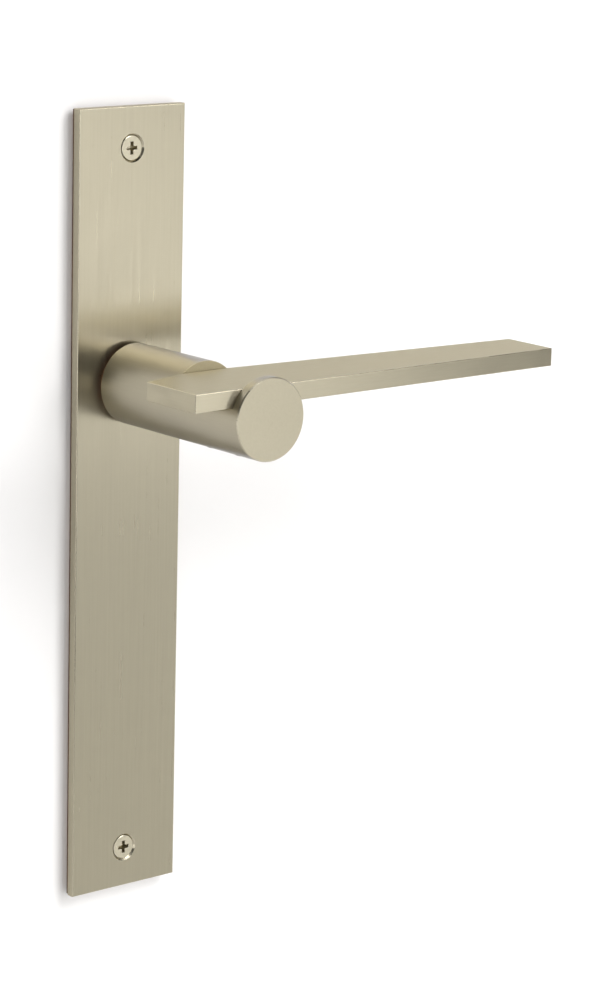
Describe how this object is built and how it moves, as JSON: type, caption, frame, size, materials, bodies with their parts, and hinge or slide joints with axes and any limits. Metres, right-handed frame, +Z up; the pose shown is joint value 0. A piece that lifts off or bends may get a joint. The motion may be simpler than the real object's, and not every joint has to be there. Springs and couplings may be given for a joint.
{
  "type": "lever handle on backplate",
  "caption": "Flat-bar door lever on a long slim backplate, sprung, with its spindle and fixing screws.",
  "frame": {"origin": "on the spindle axis, where it crosses the door face (the back of the plate)", "axes": "+Z up the plate, +X towards the lever tip, +Y into the door along the spindle"},
  "size_m": [0.137, 0.1224, 0.24],
  "materials": {
    "satin_nickel": "satin, warm, brushed along its length",
    "screw_nickel": "satin",
    "plated_steel": "satin",
    "spring_steel": "satin",
    "black_steel": "satin",
    "zinc_casting": "cast",
    "white_nylon": "matte",
    "dark_nylon": "matte",
    "buffer_rubber": "matte",
    "seal_rubber": "matte"
  },
  "bodies": {
    "plate": {"backplate": "satin_nickel", "backing_seal": "seal_rubber", "plate_screws": "screw_nickel", "neck_bush": "dark_nylon", "thrust_washer": "plated_steel", "dished_washer": "spring_steel", "cassette_housing": "zinc_casting", "stop_buffers": "buffer_rubber", "return_spring": "spring_steel", "cassette_cover": "plated_steel", "cover_bush": "white_nylon", "cassette_screws": "plated_steel", "spring_seat": "white_nylon"},
    "lever": {"neck": "satin_nickel", "lever_bar": "satin_nickel", "bar_screws": "black_steel", "bar_dowels": "plated_steel", "grub_screw": "black_steel", "spindle": "plated_steel", "drive_hub": "zinc_casting", "circlip": "spring_steel"}
  },
  "joints": [
    {"name": "lever_turn", "type": "hinge", "parent": "plate", "child": "lever", "pos_m": [0, 0, 0], "axis": [0, 1, 0], "range_deg": [0, 45], "stiffness_Nm_per_rad": 0.6, "springref_deg": -51.57, "deforming": ["return_spring"]}
  ]
}
